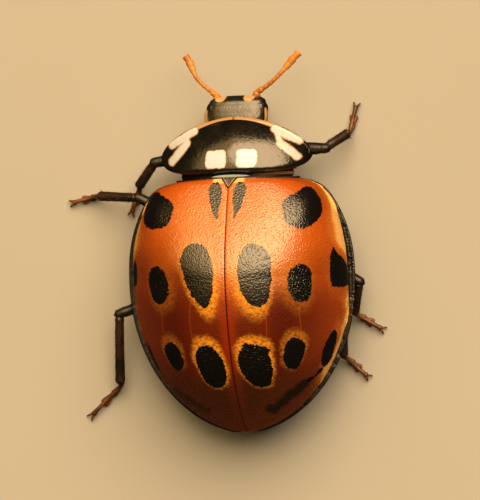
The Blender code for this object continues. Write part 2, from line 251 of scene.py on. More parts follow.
def case_sections(y):
    """Sections of a wing case at stations y: the outer line from seam to lip, and the inner line back.

    The dome is x = foot * share, z = gutter + rise * arch(share). A soft maximum joins it to the
    gutter, whose height grows with the square of the way out. The lip is half a circle. The inner
    line is the flat underfold and then a smaller dome.
    """
    y = y[:, None]
    half, start = back_half(y), seam(y)
    gutter = GUTTER * profile(y, (-2.6, -2.2, -1.0, 1.8, 3.4, 4.1), (0.5, 0.85, 1, 1, 0.8, 0.45))
    gutter = np.minimum(gutter, 0.3 * half)
    lip_r = np.minimum(LIP_R, 0.3 * gutter)
    foot, shelf_end = half - gutter, half - lip_r
    rise = np.maximum(RIM_Z + back_rise(y) - GUTTER_Z, 0.03)
    way = np.concatenate([np.sin(np.linspace(0, math.pi / 2, 420)), [1.001, 1.002]])
    x = np.hstack([start + (foot - start) * way, foot + (shelf_end - foot) * np.linspace(0.02, 1, 60)])
    shelf = GUTTER_Z + GUTTER_TURN_UP * ramp(x, foot, half) ** 2
    dome = GUTTER_Z + rise * back_arch(x / foot, y) - 6.0 * np.clip(x - foot, 0.0, None)
    z = np.maximum(dome, shelf) + np.clip(FILLET - np.abs(dome - shelf), 0.0, None) ** 2 / (4 * FILLET)
    top = grid_of(x, y, z - SEAM_DEPTH * bell(x, start, 0.018))
    turn = np.linspace(math.pi / 2, -math.pi / 2, 14)[1:]
    lip_z = top[:, -1:, 2] - lip_r
    lip = grid_of(shelf_end + lip_r * np.cos(turn), y, lip_z + lip_r * np.sin(turn))
    fold_z = lip_z - lip_r
    fold = UNDERFOLD * profile(y, (-2.6, -1.5, 1.0, 3.0, 4.1), (0.9, 1.1, 1, 0.6, 0.3))
    fold = np.minimum(fold, 0.35 * half)
    inset = np.linspace(0.0, 1.0, FOLD_STEPS + 1)[1:]
    underfold = grid_of(shelf_end - fold * inset, y, fold_z + 0.04 * np.sin(math.pi * inset))
    back = np.sin(np.linspace(math.pi / 2, 0, 36))[1:]
    inner_foot = shelf_end - fold
    ceiling = np.maximum(RIM_Z + back_rise(y) - WALL - fold_z, 0.01)
    inner_z = fold_z + ceiling * back_arch(np.maximum(back, start / inner_foot), y)
    inner = grid_of(np.maximum(inner_foot * back, start), y, inner_z)
    outer, inner = np.hstack([top, lip]), np.hstack([underfold, inner])
    roll = FRONT_ROLL * ramp(y, BACK_FRONT + 0.16, BACK_FRONT) ** 2
    outer[:, :, 2] -= roll
    inner[:, :, 2] -= roll
    return outer, inner


def wing_case(word, side, look):
    """One wing case: its sections stand in rows, ring after ring, and both ends are walled.

    Its skin is pushed out by fine wrinkles, a slow swell and a bump on the shoulder, all of which
    fade out towards its edges. Map "Shell" is the way out from the midline and along the back from
    the widest station, and map "Edge" the way in from the lip, and y.
    """
    mirror = np.array([side, 1, 1])
    y = 0.6 * np.linspace(0, 1, CASE_ROWS) + 0.4 * closer_ends(CASE_ROWS)
    y = BACK_FRONT + 0.01 + (BACK_REAR - BACK_FRONT - 0.04) * y
    outer, inner = case_sections(y)
    shares = np.concatenate([np.linspace(0, 1 - LIP_SHARE, CASE_COLUMNS - LIP_COLUMNS),
                             np.linspace(1 - LIP_SHARE, 1, LIP_COLUMNS + 1)[1:]])
    outer = spread(outer, shares)
    run = run_length(outer)
    rim = run[:, -1:] - run
    along = np.concatenate([[0.0], np.cumsum(np.hypot(np.diff(y), np.diff(back_rise(y))))])
    along = (along - np.interp(0.0, y, along))[:, None]
    calm = ramp(run, 0, 0.12) * ramp(rim, 0.22, 0.37)
    calm = calm * (ramp(y, BACK_FRONT, BACK_FRONT + 0.3) * ramp(y, BACK_REAR, BACK_REAR - 0.4))[:, None]
    skin = outer * mirror
    push = 0.0010 * rough(skin, 0.085, 3) + 0.0010 * rough(skin, 0.052, 5) + 0.008 * rough(skin, 0.9, 7)
    push = push + SHOULDER * bell(outer[:, :, 0], 2.02, 0.30) * bell(outer[:, :, 1], -1.85, 0.45)
    outer = outer + outward(outer) * (calm * push)[:, :, None]
    ring = np.hstack([outer, inner]) * mirror
    rows, columns = ring.shape[:2]
    outer_last, inner_last = outer.shape[1] - 1, inner.shape[1] - 1
    blank = np.full((rows, inner_last + 1), -1.0)
    inward = blank * ramp(np.arange(inner_last + 1.0), -1, FOLD_STEPS - 1)
    maps = {"Shell": grid_of(np.hstack([run + seam(y)[:, None], blank]), along).reshape(-1, 2),
            "Edge": grid_of(np.hstack([rim, inward]), y[:, None]).reshape(-1, 2)}
    # end walls: each outer step meets the inner point at the same share of the way
    steps = np.arange(outer_last + 1)
    match = columns - 1 - np.round(steps / outer_last * inner_last).astype(int)
    o, here, ahead = steps[:-1], match[:-1], match[1:]
    wall = np.concatenate([np.stack([o, o + 1, ahead], axis=1),
                           np.stack([o, ahead, here], axis=1)[here != ahead]])
    walls = np.concatenate([wall, wall[:, ::-1] + (rows - 1) * columns])
    return mesh_piece(f"wing_case_{word}", ring.reshape(-1, 3), grid_faces(rows, columns, wrap=True), walls,
                      look, [f"elytron_{word}"], maps)


def works(kind, operation):
    """What turns one operation of a kind of node into a method of Feed."""
    return lambda *feeds: add(kind, *feeds, operation=operation)


class Feed:
    """An output of a node. Arithmetic with feeds adds the nodes that work it out, in the same tree."""

    def __init__(self, socket):
        self.socket = socket
        self.tree = socket.id_data

    def output(self, label):
        """Another output of the same node."""
        return Feed(self.socket.node.outputs[label])

    __add__, __sub__ = works("Math", "ADD"), works("Math", "SUBTRACT")
    __mul__, __truediv__ = works("Math", "MULTIPLY"), works("Math", "DIVIDE")
    __pow__, __abs__ = works("Math", "POWER"), works("Math", "ABSOLUTE")
    least, most = works("Math", "MINIMUM"), works("Math", "MAXIMUM")
    plus, minus = works("VectorMath", "ADD"), works("VectorMath", "SUBTRACT")
    times, over = works("VectorMath", "MULTIPLY"), works("VectorMath", "DIVIDE")
    scaled, dot = works("VectorMath", "SCALE"), works("VectorMath", "DOT_PRODUCT")


def add(kind, *feeds, tree=None, **settings):
    """One shader node, its inputs fed in order by feeds or values; returns its first output in use."""
    tree = tree or next(feed.tree for feed in feeds if isinstance(feed, Feed))
    node = tree.nodes.new("ShaderNode" + kind)
    for key, value in settings.items():
        setattr(node, key, value)
    for feed, socket in zip(feeds, [socket for socket in node.inputs if socket.enabled]):
        join(feed, socket)
    return Feed(next(socket for socket in node.outputs if socket.enabled))


def join(feed, socket):
    """Links a feed to an input, or sets the input to a value. None leaves it as it is."""
    if isinstance(feed, Feed):
        feed.tree.links.new(feed.socket, socket)
    elif feed is not None:
        socket.default_value = (*feed, 1.0) if socket.type == "RGBA" else feed


def split(vector):
    """The x, y and z of a vector."""
    parts = add("SeparateXYZ", vector)
    return [parts.output(axis) for axis in "XYZ"]


def eased(value, low, high, at_low=0.0, at_high=1.0):
    """A smooth step from at_low to at_high as value goes from low to high."""
    return add("MapRange", value, low, high, at_low, at_high, interpolation_type="SMOOTHSTEP")


def within(distance, soft):
    """1 inside an edge and 0 outside it, with a step as soft as given in mm to each side of the edge."""
    return eased(distance, soft, -soft)


def painted(colour, *coats):
    """A colour with others laid over it in turn, each coat given as its share and its colour."""
    for share, over in coats:
        colour = add("Mix", share, colour, over, data_type="RGBA")
    return colour


def cloud(place, scale, detail=3.0, roughness=0.55):
    """Noise from 0 to 1."""
    return add("TexNoise", place, scale, detail, roughness)


def node_group(work, output, **inputs):
    """A node group whose output is worked out by a function; returns a function that places the group."""
    tree = bpy.data.node_groups.new(work.__name__, "ShaderNodeTree")
    for label, kind in inputs.items():
        tree.interface.new_socket(label, in_out="INPUT", socket_type="NodeSocket" + kind)
    tree.interface.new_socket(output[0], in_out="OUTPUT", socket_type="NodeSocket" + output[1])
    given = tree.nodes.new("NodeGroupInput").outputs[:len(inputs)]
    join(work(*map(Feed, given)), tree.nodes.new("NodeGroupOutput").inputs[0])
    return lambda *feeds: add("Group", *feeds, node_tree=tree)


def spot_edge(place, centre, half, turn, power, taper):
    """Distance in mm from the edge of a rounded spot, below 0 inside it: a turned superellipse.

    Its width grows along its length by the taper, which is below 0 where the spot narrows behind.
    """
    turned = add("VectorRotate", place.minus(centre), None, turn, rotation_type="Z_AXIS")
    x, y, _ = split(turned.over(half))
    half_x, half_y, _ = split(half)
    grown = add("Clamp", y, -1.0, 1.0) * taper + 1.0
    radius = (abs(x / grown) ** power + abs(y) ** power) ** (power ** -1.0)
    return (radius - 1.0) * ((half_x + half_y) * 0.5)


def stroke_edge(place, start, end, half):
    """Distance in mm from the edge of a straight stroke with round ends, below 0 inside it."""
    reach, whole = place.minus(start), end.minus(start)
    share = add("Clamp", reach.dot(whole) / whole.dot(whole))
    apart = reach.minus(whole.scaled(share))
    return apart.dot(apart) ** 0.5 - half


def ragged_place(place, coarse, fine):
    """A pattern's coordinates moved about, by a coarse and a fine amount in mm, to fray its edges."""
    moved = place
    for scale, amount in ((2.6, coarse), (15.0, fine)):
        noise = cloud(place, scale, 1.5, 0.5).output("Color")
        moved = moved.plus(noise.minus((0.5, 0.5, 0.5)).scaled(amount * 4.0))
    return moved


def pitted_height(place, cells, width):
    """Height from 0 to 1 of cuticle with a round pit in each cell, cells per mm and pit width as given."""
    return eased(add("TexVoronoi", place, cells), 0.0, width)


spot = node_group(spot_edge, ("Distance", "Float"), Vector="Vector", Centre="Vector", Half="Vector",
                  Turn="Float", Power="Float", Taper="Float")
stroke = node_group(stroke_edge, ("Distance", "Float"), Vector="Vector", From="Vector", To="Vector",
                    Half="Float")
ragged = node_group(ragged_place, ("Vector", "Vector"), Vector="Vector", Coarse="Float", Fine="Float")
pitted = node_group(pitted_height, ("Height", "Float"), Vector="Vector", Cells="Float", Width="Float")


def new_look(name, **constants):
    """A material with constants of its shader set, such as Coat_Weight."""
    look = bpy.data.materials.new(name)
    look.use_nodes = True
    shader = look.node_tree.nodes["Principled BSDF"].inputs
    for label, value in constants.items():
        shader[label.replace("_", " ")].default_value = value
    return look


def finished(look, colour, height=None, depth=0.0, **others):
    """Feeds a shader: its colour, a bump depth mm deep for a height of 0 to 1, and others by name."""
    shader = look.node_tree.nodes["Principled BSDF"].inputs
    join(colour, shader["Base Color"])
    if height is not None:
        join(add("Bump", None, depth * MM, None, height), shader["Normal"])
    for label, feed in others.items():
        join(feed, shader[label])
    return look


def mapped(look, label):
    """The coordinates of one of a piece's UV maps."""
    return add("UVMap", tree=look.node_tree, uv_map=label)


def body_mm(look):
    """Object coordinates turned from metres into millimetres."""
    return add("TexCoord", tree=look.node_tree).output("Object").scaled(1 / MM)


# Each spot: distance out from the seam and along the back, half-widths both ways, turn in degrees,
# power of its outline, taper and strength of the pale ring round it.
LEFT_SPOTS = (
    (2.13, -1.95, 0.68, 0.53, 14, 2.4, 0.00, 0.0),
    (0.31, -2.20, 0.15, 0.58, -3, 2.2, -0.45, 0.2),
    (0.71, -0.09, 0.41, 0.88, -10, 2.0, -0.32, 0.90),
    (2.01, 0.12, 0.39, 0.51, -12, 2.3, -0.05, 0.18),
    (3.75, -0.27, 0.58, 0.44, 0, 2.2, 0.00, 0.1),
    (0.56, 2.40, 0.365, 0.66, -14, 2.2, -0.08, 1.0),
    (1.68, 2.05, 0.29, 0.43, -28, 2.3, -0.10, 0.30),
    (2.98, 2.05, 0.17, 0.46, -26, 2.0, 0.00, 0.0),
)
RIGHT_SPOTS = (
    (2.08, -1.88, 0.63, 0.56, 24, 2.5, 0.00, 0.0),
    (0.28, -2.20, 0.14, 0.56, -6, 2.2, -0.45, 0.2),
    (0.78, -0.05, 0.44, 0.84, 2, 2.2, -0.12, 0.85),
    (2.01, 0.20, 0.37, 0.51, 0, 2.5, -0.05, 0.18),
    (3.40, -0.20, 0.34, 0.56, 0, 3.2, 0.00, 0.1),
    (3.76, -0.06, 0.42, 0.40, 0, 2.6, 0.00, 0.0),
    (0.64, 2.44, 0.42, 0.67, 10, 2.2, -0.14, 1.0),
    (0.46, 1.86, 0.15, 0.12, 0, 2.0, 0.00, 0.9),
    (0.90, 1.96, 0.14, 0.12, 0, 2.0, 0.00, 0.9),
    (1.70, 2.08, 0.30, 0.46, -24, 2.5, -0.15, 0.45),
    (3.02, 1.98, 0.25, 0.58, -30, 2.2, 0.15, 0.0),
)
# What each side has of its own, in mm: broken dark strokes near the tip and a soft dark streak ahead
# of it (from, to, half-width, and the streak's strength), the width of the black lip, the width and
# rear end of the pale band inside it, how high and how dull the lip's knobs are, how far out and
# back the golden ground reaches that is painted sheen under the shoulders' highlight, and where the
# brown sets in along the back.
LEFT_OWN = {
    "spots": LEFT_SPOTS,
    "strokes": (((3.10, 2.30), (2.80, 2.75), 0.06),),
    "streak": ((2.05, 3.10), (0.95, 3.85), 0.13, 0.75),
    "lip_wide": 0.37, "pale_wide": 0.80, "pale_end": 1.1, "knob_high": 0.8, "knob_dull": 0.65,
    "sheen_out": 1.9, "sheen_back": 0.2, "brown_from": -1.3, "brown_to": 1.5,
}
RIGHT_OWN = {
    "spots": RIGHT_SPOTS,
    "strokes": (((2.70, 2.55), (2.10, 2.95), 0.07),),
    "streak": ((1.95, 3.02), (0.80, 3.95), 0.17, 0.95),
    "lip_wide": 0.31, "pale_wide": 0.62, "pale_end": 2.6, "knob_high": 3.0, "knob_dull": 0.30,
    "sheen_out": 2.4, "sheen_back": 0.8, "brown_from": -0.4, "brown_to": 1.7,
}
ORANGE = (0.43, 0.086, 0.001)
# painted sheen: a golden ground laid under the shoulders' highlight so that it reads gold
SHEEN_GOLD = (0.46, 0.150, 0.026)
WARM_ORANGE = (0.48, 0.110, 0.002)
SIDE_ORANGE = (0.35, 0.054, 0.001)
BROWN_RED = (0.098, 0.0115, 0.0005)
DEEP_RED = (0.055, 0.0045, 0.0003)
TAIL_BROWN = (0.050, 0.0125, 0.0003)
SEAM_RED = (0.24, 0.021, 0.001)
RING_YELLOW = (0.78, 0.330, 0.024)
RIM_YELLOW = (0.55, 0.17, 0.012)
CREAM = (0.86, 0.52, 0.18)
LINE_ORANGE = (0.55, 0.13, 0.02)
FRONT_BROWN = (0.06, 0.02, 0.006)
GRAIN_BROWN = (0.16, 0.02, 0.003)
GROOVE_BROWN = (0.05, 0.006, 0.002)
STREAK_BROWN = (0.012, 0.006, 0.003)
UNDER_BROWN = (0.10, 0.030, 0.008)
SPOT_BLACK = (0.003, 0.0025, 0.002)


def wing_case_look(word, spots, strokes, streak, lip_wide, pale_wide, pale_end, knob_high, knob_dull,
                   sheen_out, sheen_back, brown_from, brown_to):
    """Orange cuticle with black spots in frayed pale rings, a black lip and a pale band inside it."""
    look = new_look(f"wing_case_{word}", Roughness=0.25, IOR=1.80)
    shell = mapped(look, "Shell")
    out, back, _ = split(shell)
    rim, station, _ = split(mapped(look, "Edge"))
    frayed = ragged(shell, 0.035, 0.030)
    edges, glows = [], []
    for u, v, half_u, half_v, turn, power, taper, strength in spots:
        shape = ((half_u, half_v, 1.0), math.radians(turn), power, taper)
        edges.append(spot(frayed, (u, v, 0.0), *shape))
        if strength > 0:
            centre, wide = ((u - 0.06, v + 0.07, 0.0), 0.30) if v < 1.0 else ((u, v - 0.12, 0.0), 0.19)
            glows.append(eased(spot(frayed, centre, *shape), -0.02, wide, strength, 0.0))
    for start, end, half in strokes:
        broken = cloud(shell, 5.0) * 0.28 - 0.12
        edges.append(stroke(frayed, (*start, 0.0), (*end, 0.0), half) + broken)

    # the ground: orange, golden on the shoulders where the highlight falls, which is a painted sheen,
    # and brown and red towards the tip
    brown = eased(back + cloud(shell, 1.1, 3.0, 0.5) * 1.2, brown_from, brown_to)
    painted_sheen = eased(out, sheen_out, sheen_out - 1.1) * eased(back, -2.7, -1.8, 0.0, 0.85)
    painted_sheen = painted_sheen * eased(back, sheen_back, sheen_back - 1.0)
    column = eased(abs(out - 1.50), 0.60, 0.10) * eased(back, 0.0, 1.0, 0.0, 0.7)
    outer_side = eased(rim, 2.4, 0.3, 0.0, 0.90) * eased(back, 1.4, 2.6, 1.0, 0.30)
    warm = eased(out, 0.65, 0.20, 0.0, 0.85) * eased(back, 1.3, 0.3)
    beside_seam = eased(out, 0.30, 0.08) * eased(back, 0.0, 0.7) * eased(back, 1.8, 3.2, 1.0, 0.25) * 0.8
    speckle = eased(cloud(shell, 11.0, 4.0, 0.7), 0.30, 0.58) * eased(back, -0.7, 0.5, 0.30, 1.0)
    colour = painted(ORANGE, (brown, BROWN_RED), (painted_sheen, SHEEN_GOLD), (column, DEEP_RED),
                     (eased(back, 2.2, 3.2), TAIL_BROWN), (outer_side, SIDE_ORANGE), (warm, WARM_ORANGE),
                     (beside_seam, SEAM_RED), (reduce(Feed.most, glows) * speckle, RING_YELLOW))
    # faint pale lines run back between the spots
    stretch = eased(back, 0.3, 0.7) * eased(back, 2.0, 1.5)
    for line in (1.08, 2.05):
        near = abs(out + cloud(shell, 1.3, 1.0) * 0.2 - line)
        colour = painted(colour, (eased(near, 0.020, 0.0, 0.0, 0.30) * stretch, LINE_ORANGE))

    # the black lip, and the scalloped pale band that lies inside it ahead of and behind the side spot
    lip = cloud(shell, 3.0) * 0.12 + eased(back, -2.1, -0.8) * eased(back, 1.4, 0.0) * lip_wide
    lip = lip + eased(back, 0.9, 1.7, 0.0, 0.13) + 0.08
    inside = rim - lip
    margin = within(inside, 0.02)
    scallop = inside + cloud(shell, 2.2) * 0.20
    ahead = eased(back, -2.4, -1.5, 0.24, pale_wide) * eased(back, -1.0, -0.25, 1.0, 0.0)
    behind = eased(back, 0.35, 0.8, 0.0, 0.42) * eased(cloud(shell, 1.3), 0.2, 0.6)
    behind = behind * eased(back, pale_end, pale_end + 0.7, 1.0, 0.0)
    band = scallop - (ahead + behind)
    glow = eased(band, 0.55, 0.0) * eased(back, pale_end, pale_end + 1.0, 0.9, 0.15)
    wedge = eased(back, -0.80, -0.05, 0.85, 0.0) - scallop - eased(back, -0.9, -1.2, 0.0, 3.0)
    black = within(reduce(Feed.least, edges).most(wedge), 0.010)

    # the dark front edge and its pale corner, a grain, the seam's groove and the soft streak
    front = eased(station, BACK_FRONT + 0.05, BACK_FRONT + 0.02) * 0.8
    corner = eased(out, 0.46, 0.36) * eased(station, BACK_FRONT + 0.17, BACK_FRONT + 0.10)
    grain = eased(cloud(shell, 16.0, 3.0, 0.6), 0.35, 0.75, 0.0, 0.22)
    groove = eased(out, 0.030, 0.012) * eased(back, -1.6, 0.4, 0.25, 0.8)
    start, end, half, strength = streak
    dark = stroke(frayed, (*start, 0.0), (*end, 0.0), half) + (cloud(shell, 3.5) - 0.5) * 0.3
    colour = painted(colour, (glow, RIM_YELLOW), (eased(band, 0.14, -0.12) * 0.9, CREAM),
                     (front, FRONT_BROWN), (corner, CREAM), (grain, GRAIN_BROWN), (groove, GROOVE_BROWN),
                     (eased(dark, 0.08, -0.10, 0.0, strength), STREAK_BROWN),
                     (margin.most(black), SPOT_BLACK), (eased(rim, -0.02, -0.10), UNDER_BROWN))

    # a leathery, finely pitted surface; the outer and the rear spots are pebbled, and the lip is knobbed
    leather = cloud(shell, 21.0, 2.0, 0.5)
    pits = pitted(ragged(shell, 0.0, 0.012), 17.0, 0.62)
    knobs = pitted(ragged(shell, 0.0, 0.03), 4.5, 0.55)
    pebbled = eased(out, 1.15, 1.50, 0.0, 1.1).most(eased(back, 1.2, 1.6, 0.0, 1.1))
    pebbled = pebbled * black * eased(back, -0.8, -0.4)
    height = (leather * 0.7 - pits * 0.5) * (eased(back, -0.8, 0.5, 1.0, 0.5) + pebbled)
    height = height + knobs * margin * knob_high
    # black metal has almost no gloss: some of it on the lip dulls the lip
    return finished(look, colour, height, 0.0125, Metallic=margin * knob_dull,
                    Roughness=eased(leather, 0.3, 0.7, 0.22, 0.30) + margin * 0.10)


for (word, side), own in zip(SIDES, (LEFT_OWN, RIGHT_OWN)):
    wing_case(word, side, wing_case_look(word, **own))


# ==== Scutellum ==================================================================================
# The small black triangle between the wing cases' bases, with the narrow grey strip of the middle
# back in front of it. Hard cuticle with a raised edge, grown to the thorax below.
PLATE_BLACK = (0.004, 0.0035, 0.003)
# the two grey tones inside the scutellum are a painted sheen on its black cuticle
PLATE_SHEEN_DARK, PLATE_SHEEN_GREY = (0.03, 0.027, 0.023), (0.085, 0.077, 0.066)
PLATE_LINE = (0.30, 0.24, 0.17)


def pillow(name, top, thickness, look, nodes, edge=6, maps=None):
    """A closed plate from one sheet of points: the under sheet lies thickness below, its edge rounded."""
    rows, columns = top.shape[:2]
    i, j = np.meshgrid(np.arange(rows), np.arange(columns), indexing="ij")
    near = np.minimum(np.minimum(i, rows - 1 - i), np.minimum(j, columns - 1 - j))
    fall = (1 - np.sqrt(1 - ramp(near, edge, 0) ** 2)) * thickness / 2
    upper, under = top.copy(), top.copy()
    upper[:, :, 2] -= fall
    under[:, :, 2] -= thickness - fall
    points = np.concatenate([upper.reshape(-1, 3), under.reshape(-1, 3)])
    count = rows * columns
    sheet = grid_faces(rows, columns)
    lap = np.concatenate([np.arange(columns - 1), np.arange(rows - 1) * columns + columns - 1,
                          np.arange(count - 1, count - columns, -1), np.arange(rows - 1, 0, -1) * columns])
    ahead = np.roll(lap, -1)
    wall = np.stack([lap + count, ahead + count, ahead, lap], axis=1)
    quads = np.concatenate([sheet, sheet[:, ::-1] + count, wall])
    maps = {key: np.concatenate([pair.reshape(-1, 2)] * 2) for key, pair in (maps or {}).items()}
    return mesh_piece(name, points, quads, [], look, nodes, maps)


def pits_and_grain(place, cells, width, grain, pitted_share):
    """Height from 0 to 1 of cuticle with fine pits on a grain, by the share that the pits have in it."""
    return pitted(place, cells, width) * pitted_share + grain * (1 - pitted_share)


def cuticle_look(name, colour, dark, roughness=0.36, cells=16.0, coat=0.0):
    """Plain hard cuticle: two close tones in clouds, fine pits and a grain."""
    look = new_look(name, Roughness=roughness, Coat_Weight=coat, Coat_Roughness=0.12)
    place = body_mm(look)
    grain = cloud(place, 40.0, 3.0, 0.6)
    return finished(look, painted(dark, (eased(cloud(place, 2.4, 4.0), 0.35, 0.65), colour)),
                    pits_and_grain(place, cells, 0.5, grain, 0.6), 0.0080,
                    Roughness=eased(grain, 0.3, 0.7, roughness - 0.05, roughness + 0.10))


BLACK_LOOK = cuticle_look("cuticle_black", (0.014, 0.012, 0.011), (0.006, 0.005, 0.005))


def scutellum():
    """A triangle whose half-width falls evenly to its tip; its middle sinks below its raised sides."""
    way, across = np.linspace(0, 1, 48)[:, None], np.linspace(-1, 1, 41)
    y = BACK_FRONT + NOTCH_LENGTH * (way * 0.93 - 0.02)
    half = (NOTCH_HALF - 0.022) * (1 - way) ** 0.9 + 0.006
    level = RIM_Z + back_rise(np.maximum(y, BACK_FRONT)) - 0.045
    dip = 0.012 * (1 - across**2) ** 2 * (1 - way) ** 0.5 + 0.04 * np.clip(0.12 - way, 0, 1)
    maps = {"Plan": grid_of(half * across, half * (1 - np.abs(across)))}
    return pillow("scutellum_plate", grid_of(half * across, y, level - dip), 0.30, scutellum_look(),
                  ["scutellum"], maps=maps)


def scutellum_look():
    """Black cuticle painted dark grey inside, a painted sheen, with a black border, and a fine pale line
    inside it on both sides.
    """
    look = new_look("scutellum", Roughness=0.38)
    border = split(mapped(look, "Plan"))[1]
    grain = cloud(body_mm(look), 22.0, 3.0, 0.6)
    colour = painted(PLATE_SHEEN_DARK, (eased(grain, 0.35, 0.65), PLATE_SHEEN_GREY),
                     (eased(abs(border - 0.050), 0.015, 0.006), PLATE_LINE),
                     (eased(border, 0.035, 0.025), PLATE_BLACK))
    return finished(look, colour, grain, 0.0120)


def back_strip():
    """The grey strip before the scutellum: a lens in plan, sunk towards its ends."""
    way, across = np.linspace(-1, 1, 16)[:, None], np.linspace(-1, 1, 90)
    x = 0.50 * across
    y = BACK_FRONT - 0.040 + 0.050 * way * (1 - across**2) ** 0.6
    z = RIM_Z + back_rise(np.array(BACK_FRONT)) - 0.10 - 0.10 * across**2 - 0.02 * way**2
    look = cuticle_look("back_strip_grey", (0.30, 0.34, 0.42), (0.22, 0.25, 0.30), 0.45)
    return pillow("back_strip", grid_of(x, y, z), 0.20, look, [], edge=4)


scutellum()
back_strip()


# ==== Neck shield ================================================================================
# The pronotum: one very glossy black plate arched over the front of the trunk, with a raised bead
# along its edge, two square white marks behind and a forked cream mark at each front corner.
shield_low, shield_high = body_box("pronotum")
SHIELD_HALF = (shield_high[0] - shield_low[0]) / 2 / 0.998
SHIELD_FORE = 1.04          # from the shield's widest line to its front, and to its rear
SHIELD_AFT = 0.47
SHIELD_SIDE_Y = shield_high[1] - SHIELD_AFT
SHIELD_RIM_Z = 1.78
SHIELD_BEAD = 0.014         # height of the bead, and depth of the groove inside it
WHITE = (0.60, 0.57, 0.78)
SHIELD_CREAM = (0.49, 0.54, 0.63)
SHIELD_TAN = (0.32, 0.21, 0.11)
FRONT_LINE_TAN = (0.40, 0.24, 0.11)
SHIELD_BLACK = (0.008, 0.007, 0.006)
# the two squares: middle and half-widths; the strokes of both forks: from, to, half-width
SQUARES = ((0.395, -3.115, 0.285, 0.245), (-0.420, -3.110, 0.275, 0.245))
FORKS = (((1.06, -3.87), (1.65, -3.53), 0.125), ((1.23, -3.56), (1.64, -3.09), 0.128),
         ((1.20, -3.78), (1.24, -3.60), 0.090), ((-1.14, -3.80), (-1.24, -3.54), 0.090),
         ((-1.10, -3.85), (-1.72, -3.54), 0.120), ((-1.26, -3.49), (-1.69, -3.11), 0.112))


def shield_share(x):
    """How far out a point of the shield is, from 0 on the midline to 1 at the side."""
    return ramp(np.abs(x), 0.0, SHIELD_HALF)


def shield_top(x, y):
    """Height of the shield: arched across, and falling ever more steeply towards the head."""
    share = shield_share(x)
    along = ramp(y, SHIELD_SIDE_Y + SHIELD_AFT, SHIELD_SIDE_Y - SHIELD_FORE)
    ridge = along * (np.sqrt(share**2 + 0.008) - 0.09)
    arch = (0.77 - 0.40 * along**2.6) * (1.0 - share**2.35) ** 0.8
    return SHIELD_RIM_Z - 0.40 * along**2 - 0.44 * ridge + arch


def roughened(grid, *grains):
    """A grid of points pushed out and in by random heights, each given as height, knot size and seed."""
    push = sum(high * rough(grid, size, seed) for high, size, seed in grains)
    return grid + outward(grid) * push[:, :, None]


def neck_shield():
    """The shield's sheet, its edge lifted into a bead and its underside 0.16 mm below.

    In plan its front and rear edges are the two halves of superellipses that meet at the sides.
    """
    way, turn = closer_ends(120)[:, None], np.linspace(-math.pi / 2, math.pi / 2, 300)
    x = 0.998 * SHIELD_HALF * np.sin(turn)
    front = SHIELD_SIDE_Y - SHIELD_FORE * (1.0 - shield_share(x) ** 1.7) ** 0.58
    rear = SHIELD_SIDE_Y + SHIELD_AFT * (1.0 - shield_share(x) ** 4.3) ** 0.5
    y = front + (rear - front) * way
    border = np.minimum(y - front, 1.4 * (SHIELD_HALF - np.abs(x)))
    bead = SHIELD_BEAD * (bell(border, 0.035, 0.035) - bell(border, 0.11, 0.05))
    roll = 0.10 * (1 - np.sqrt(1 - ramp(y, rear - 0.17, rear) ** 2))
    top = roughened(grid_of(x, y, shield_top(x, y) + bead - roll), (0.0008, 0.07, 11), (0.002, 0.8, 12))
    maps = {"Plan": grid_of(x, y), "Edge": grid_of(y - front, rear - y)}
    return pillow("neck_shield", top, 0.16, neck_shield_look(), ["pronotum"], edge=7, maps=maps)


def neck_shield_look():
    """Black gloss; the marks are superellipses and strokes in plan, and a line along the front edge."""
    look = new_look("neck_shield", Roughness=0.17, IOR=1.72)
    plan = mapped(look, "Plan")
    frayed = ragged(plan, 0.022, 0.010)
    squares = reduce(Feed.least, [spot(frayed, (x, y, 0.0), (half_x, half_y, 1.0), 0.0, 5.5, 0.0)
                                  for x, y, half_x, half_y in SQUARES])
    forks = reduce(Feed.least, [stroke(frayed, (*start, 0.0), (*end, 0.0), half)
                                for start, end, half in FORKS])
    across = abs(split(plan)[0])
    line = split(mapped(look, "Edge"))[0] - eased(across, 0.3, 1.2, 0.072, 0.125)
    line = within(line, 0.010) * eased(across, 1.35, 1.20) * eased(across, 0.01, 0.05, 0.35, 1.0)
    cream = painted(SHIELD_TAN, (eased(forks, -0.01, -0.05), SHIELD_CREAM))
    white = painted(SHIELD_TAN, (eased(squares, 0.0, -0.035), WHITE))
    colour = painted(PLATE_BLACK, (eased(cloud(plan, 3.0, 4.0), 0.35, 0.65), SHIELD_BLACK),
                     (line, FRONT_LINE_TAN), (within(forks, 0.012), cream), (within(squares, 0.010), white))
    grain = cloud(plan, 15.0, 2.0, 0.5)
    return finished(look, colour, pits_and_grain(plan, 12.0, 0.40, grain, 0.5), 0.0040,
                    Roughness=eased(grain, 0.3, 0.7, 0.14, 0.24))


neck_shield()


# ==== Trunk ======================================================================================
# The underside: the ring behind the neck, the middle of the body that carries four legs, and the
# belly of overlapping plates. Hard black cuticle, mostly hidden below the wing cases.
def barrel(name, parts, look, nodes):
    """A closed body of one or more parts: rings of points, each end closed by a fan to its own middle."""
    points, quads, fans, count = [], [], [], 0
    for rings in parts:
        rows, columns = rings.shape[:2]
        size, last = rows * columns, (rows - 1) * columns
        turn = np.arange(columns)
        ahead = (turn + 1) % columns
        points += [rings.reshape(-1, 3), rings[:1].mean(1), rings[-1:].mean(1)]
        quads.append(grid_faces(rows, columns, wrap=True) + count)
        fans.append(np.stack([ahead, turn, np.full(columns, size)], axis=1) + count)
        fans.append(np.stack([last + turn, last + ahead, np.full(columns, size + 1)], axis=1) + count)
        count += size + 2
    return mesh_piece(name, np.concatenate(points), np.concatenate(quads), np.concatenate(fans),
                      look, nodes)


def full_turn(count):
    """Equal steps of angle once round."""
    return np.linspace(0, 2 * math.pi, count, endpoint=False)


def bent(value, power):
    """A value raised to a power, its sign kept."""
    return np.sign(value) * np.abs(value) ** power


TRUNK_POWER = 2.2           # of the superellipse: a little squarer than an ellipse
TRUNK_INSET = 0.56          # of the trunk from the edge of the wing cases
PLATE_STEP = 0.035          # how far a plate's rear edge stands above the next plate


